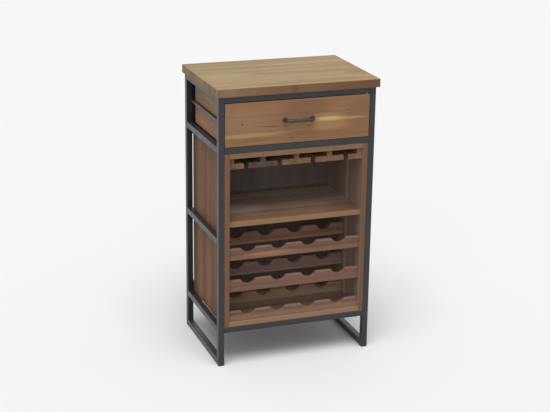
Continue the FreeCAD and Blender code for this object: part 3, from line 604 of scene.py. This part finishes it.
finished_piece("handle_bow", bow, handle_paint, "drawer", ["drawer_handle"])

# Screws: zinc-plated steel with pan heads and cross recesses, dull and slightly stained.
# They hold the top and carcass to the frame, the hanging rack to its top board, and the handle.
ZINC = (0.42, 0.42, 0.43)
ZINC_STAINED = (0.26, 0.25, 0.23)
ZINC_SHEEN = (0.35, 0.55)
STAINS_PER_METRE = 320.0
screw_steel, tree, shader, place = new_finish("screw_steel", roughness=0.4)
shader.inputs["Metallic"].default_value = 1.0
stains = stretch(tree, noise(tree, place, STAINS_PER_METRE, detail=4.0), 0.4, 0.7)
tree.links.new(blend(tree, stains, ZINC, ZINC_STAINED), shader.inputs["Base Color"])
tree.links.new(stretch(tree, stains, 0.0, 1.0, *ZINC_SHEEN), shader.inputs["Roughness"])
HEAD_PROFILE_SHARES = ((0.97, 0.0), (1.0, 0.12), (1.0, 0.45), (0.93, 0.75), (0.76, 0.96), (0.66, 1.0))
CROSS_SHARES = ((0.48, 0.13), (0.13, 0.13), (0.13, 0.48))
HEAD_STEPS = 20
TIP_SHARE = 0.3
TAPER_SHARE = 0.9
PIT_WIDTH_SHARE = 0.7
PIT_LEVEL_SHARE = 0.35


def add_screw(mesh, seat, facing, head, height, shank, length):
    """One screw: its head stands on the seat and faces outwards, its shank goes the other way."""
    placed = Matrix.Translation(seat) @ Vector(facing).to_track_quat("Z", "Y").to_matrix().to_4x4()
    steps = [2.0 * math.pi * i / HEAD_STEPS for i in range(HEAD_STEPS)]

    def ring(radius, level):
        return [placed @ Vector((radius * math.cos(t), radius * math.sin(t), level)) for t in steps]

    tip = ring(TIP_SHARE * shank, -length)
    shank_rings = [tip, ring(shank, -TAPER_SHARE * length), ring(shank, 0.0)]
    head_rings = [ring(head * r, height * h) for r, h in HEAD_PROFILE_SHARES]
    rows = skin_rings(mesh, shank_rings + head_rings)
    mesh.faces.new(rows[0])
    crown = rows[-1]
    cross = []
    for quarter in range(4):
        spin = Matrix.Rotation(0.5 * math.pi * quarter, 3, "Z")
        cross += [spin @ Vector((head * x, head * y, 0.0)) for x, y in CROSS_SHARES]
    rim = [mesh.verts.new(placed @ (point + height * UP)) for point in cross]
    pit_level = PIT_LEVEL_SHARE * height * UP
    pit = [mesh.verts.new(placed @ (PIT_WIDTH_SHARE * point + pit_level)) for point in cross]
    loop = []
    for i in range(len(rim)):
        j = (i + 1) % len(rim)
        mesh.faces.new((rim[i], rim[j], pit[j], pit[i]))
        loop.append(mesh.edges.get((rim[i], rim[j])))
    mesh.faces.new(pit)
    loop += [mesh.edges.get((crown[i - 1], crown[i])) for i in range(len(crown))]
    bmesh.ops.triangle_fill(mesh, use_beauty=True, edges=loop)


HEAD_RADIUS = 0.0045
HEAD_HEIGHT = 0.003
SHANK_RADIUS = 0.002
SHANK_LENGTH = 0.027
FRONT_THICKNESS = 0.018
INTO_DRAWER = (0.0, 1.0, 0.0)
handle_screws = bmesh.new()
for x in (-HALF_PITCH, HALF_PITCH):
    seat = (x, FRONT_FACE + FRONT_THICKNESS, HANDLE_HEIGHT)
    add_screw(handle_screws, seat, INTO_DRAWER, HEAD_RADIUS, HEAD_HEIGHT, SHANK_RADIUS, SHANK_LENGTH)
finished_piece("handle_screw_set", handle_screws, screw_steel, "drawer", ["handle_screws"])
coat(["frame_screws", "rack_screws"], screw_steel)

# Top: a thick slab of long glued staves with eased edges, end grain at both ends, oiled matt.
# Its front stave is a darker, redder one. The slab lies on the frame and is screwed to it from below.
SLAB = ((0.140, 0.085, 0.040), (0.235, 0.160, 0.080), (0.300, 0.214, 0.112), (0.370, 0.275, 0.155))
LIGHT_STAVES = (0.0, -0.110, FULL_LENGTH, 0.110, 0.0, (0.400, 0.292, 0.158), 0.60)
REAR_STAVES = (0.0, 0.120, FULL_LENGTH, 0.120, 0.0, (0.400, 0.300, 0.172), 0.30)
SLAB_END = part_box("top_slab")[0].x
END_DEPTH = 0.004
SLAB_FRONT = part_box("top_slab")[0].y
FACE_DEPTH = 0.0015
FRONT_STAVE = (0.0, SLAB_FRONT, FULL_LENGTH, FACE_DEPTH, 0.0, (0.195, 0.100, 0.053), 0.78)
YELLOWER_END = (-0.330, SLAB_FRONT, 0.300, FACE_DEPTH, 0.0, (0.290, 0.170, 0.095), 0.8)
REDDER_END = (0.330, SLAB_FRONT, 0.320, FACE_DEPTH, 0.0, (0.170, 0.078, 0.046), 0.7)
RUSSET = (0.235, 0.140, 0.072)
STRAW = (0.440, 0.335, 0.185)
SLAB_MARKS = (
    LIGHT_STAVES,
    REAR_STAVES,
    (-0.060, 0.030, 0.190, 0.016, 0.02, RUSSET, 0.45),
    (0.170, -0.035, 0.170, 0.014, -0.02, RUSSET, 0.40),
    (0.190, -0.150, 0.130, 0.012, 0.01, RUSSET, 0.45),
    (-0.080, -0.185, 0.120, 0.009, 0.00, RUSSET, 0.35),
    (0.130, 0.150, 0.190, 0.020, 0.00, STRAW, 0.12),
    (-0.210, -0.070, 0.110, 0.022, 0.01, STRAW, 0.15),
    (-0.220, -0.012, 0.150, 0.032, 0.00, STRAW, 0.55),
    (0.265, -0.075, 0.060, 0.040, 0.00, RUSSET, 0.55),
    (0.050, -0.174, 0.300, 0.042, 0.00, (0.262, 0.160, 0.068), 0.55),
    (0.000, -0.190, FULL_LENGTH, 0.022, 0.00, (0.330, 0.226, 0.118), 0.55),
    (SLAB_END, 0.090, END_DEPTH, 0.034, 0.00, (0.150, 0.085, 0.050), 0.40),
    (SLAB_END, -0.070, END_DEPTH, 0.020, 0.00, (0.150, 0.100, 0.050), 0.40),
    (SLAB_END, -0.122, END_DEPTH, 0.024, 0.00, (0.125, 0.050, 0.040), 0.55),
    (SLAB_END, -0.172, END_DEPTH, 0.024, 0.00, (0.150, 0.100, 0.040), 0.45),
    FRONT_STAVE,
    YELLOWER_END,
    REDDER_END,
    (-0.255, SLAB_FRONT, 0.034, FACE_DEPTH, 0.0, (0.350, 0.220, 0.128), 0.50),
    (-0.020, SLAB_FRONT, 0.016, FACE_DEPTH, 0.0, (0.120, 0.054, 0.036), 0.35),
    (0.085, SLAB_FRONT, 0.060, FACE_DEPTH, 0.0, (0.235, 0.118, 0.068), 0.45),
    (0.200, SLAB_FRONT, 0.050, FACE_DEPTH, 0.0, (0.215, 0.105, 0.066), 0.40),
)
slab_wood = timber(
    "slab_wood", "X", "Y", width=0.058, shift=5.9, tones=SLAB, spread=0.36, figure=1.25, marks=SLAB_MARKS
)
coat(["top_slab"], slab_wood)

# Studio: a plain pale floor under one broad high light, a low broad light in front and an even sky.
# The floor shows pale to the camera and in reflections, and bounces less light than it shows.
FLOOR_SHOWN = (0.80, 0.80, 0.80)
FLOOR_BOUNCE = (0.26, 0.26, 0.26)


def shown_share(tree):
    """One for rays that show the surroundings, straight or in a reflection, nothing for light."""
    rays = node(tree, "LightPath").outputs
    mirrored = sums(tree, "MAXIMUM", rays["Is Glossy Ray"], rays["Is Transmission Ray"])
    return sums(tree, "MAXIMUM", rays["Is Camera Ray"], mirrored)


FLOOR_HALF = 30.0
material, tree, shader, _ = new_finish("floor_pale", roughness=0.9)
shown = shown_share(tree)
shader.inputs["Specular IOR Level"].default_value = 0.0
tree.links.new(blend(tree, shown, FLOOR_BOUNCE, FLOOR_SHOWN), shader.inputs["Base Color"])
floor_mesh = bpy.data.meshes.new("floor")
corners = [(x * FLOOR_HALF, y * FLOOR_HALF, 0.0) for x, y in ((-1, -1), (1, -1), (1, 1), (-1, 1))]
floor_mesh.from_pydata(corners, [], [(0, 1, 2, 3)])
floor_mesh.materials.append(material)
floor = bpy.data.objects.new("floor", floor_mesh)
bpy.context.scene.collection.objects.link(floor)

SKY_LIGHT = 0.46
SKY_SHOWN = 0.90
world = bpy.data.worlds.new("studio")
bpy.context.scene.world = world
world.use_nodes = True
tree = world.node_tree
strength = stretch(tree, shown_share(tree), 0.0, 1.0, SKY_LIGHT, SKY_SHOWN)
tree.links.new(strength, tree.nodes["Background"].inputs["Strength"])
tree.nodes["Background"].inputs["Color"].default_value = opaque((1.0, 1.0, 1.0))

LAMPS = {
    "high_light": ((-0.12, -0.32, 0.94), 2.2, 45.0),
    "front_light": ((-0.42, -0.90, 0.10), 0.80, 70.0),
}
for name, (direction, energy, softness) in LAMPS.items():
    lamp = bpy.data.lights.new(name, "SUN")
    lamp.energy = energy
    lamp.angle = math.radians(softness)
    light = bpy.data.objects.new(name, lamp)
    light.rotation_euler = Vector(direction).to_track_quat("Z", "Y").to_euler()
    bpy.context.scene.collection.objects.link(light)

# Camera: it stands left of the front and looks down on the top, as the photograph does.
# Its lens, place and angles were fitted to the corners of the cabinet in a picture 550 points wide.
IMAGE_WIDTH = 550
FOCAL_PIXELS = 1344.95
CAMERA_PLACE = (-1.6168, -4.4098, 2.0611)
CAMERA_YAW = math.radians(-19.982)
CAMERA_PITCH = math.radians(-18.161)
CAMERA_ROLL = math.radians(-0.813)
lens = bpy.data.cameras.new("camera")
lens.sensor_fit = "HORIZONTAL"
lens.lens = lens.sensor_width * FOCAL_PIXELS / IMAGE_WIDTH
camera = bpy.data.objects.new("camera", lens)
turned = Matrix.Rotation(CAMERA_YAW, 4, "Z") @ Matrix.Rotation(CAMERA_PITCH, 4, "X")
turned = turned @ Matrix.Rotation(CAMERA_ROLL, 4, "Y") @ Matrix.Rotation(math.pi / 2, 4, "X")
camera.matrix_world = Matrix.Translation(CAMERA_PLACE) @ turned
bpy.context.scene.collection.objects.link(camera)
bpy.context.scene.camera = camera
bpy.context.scene.view_settings.view_transform = "Standard"
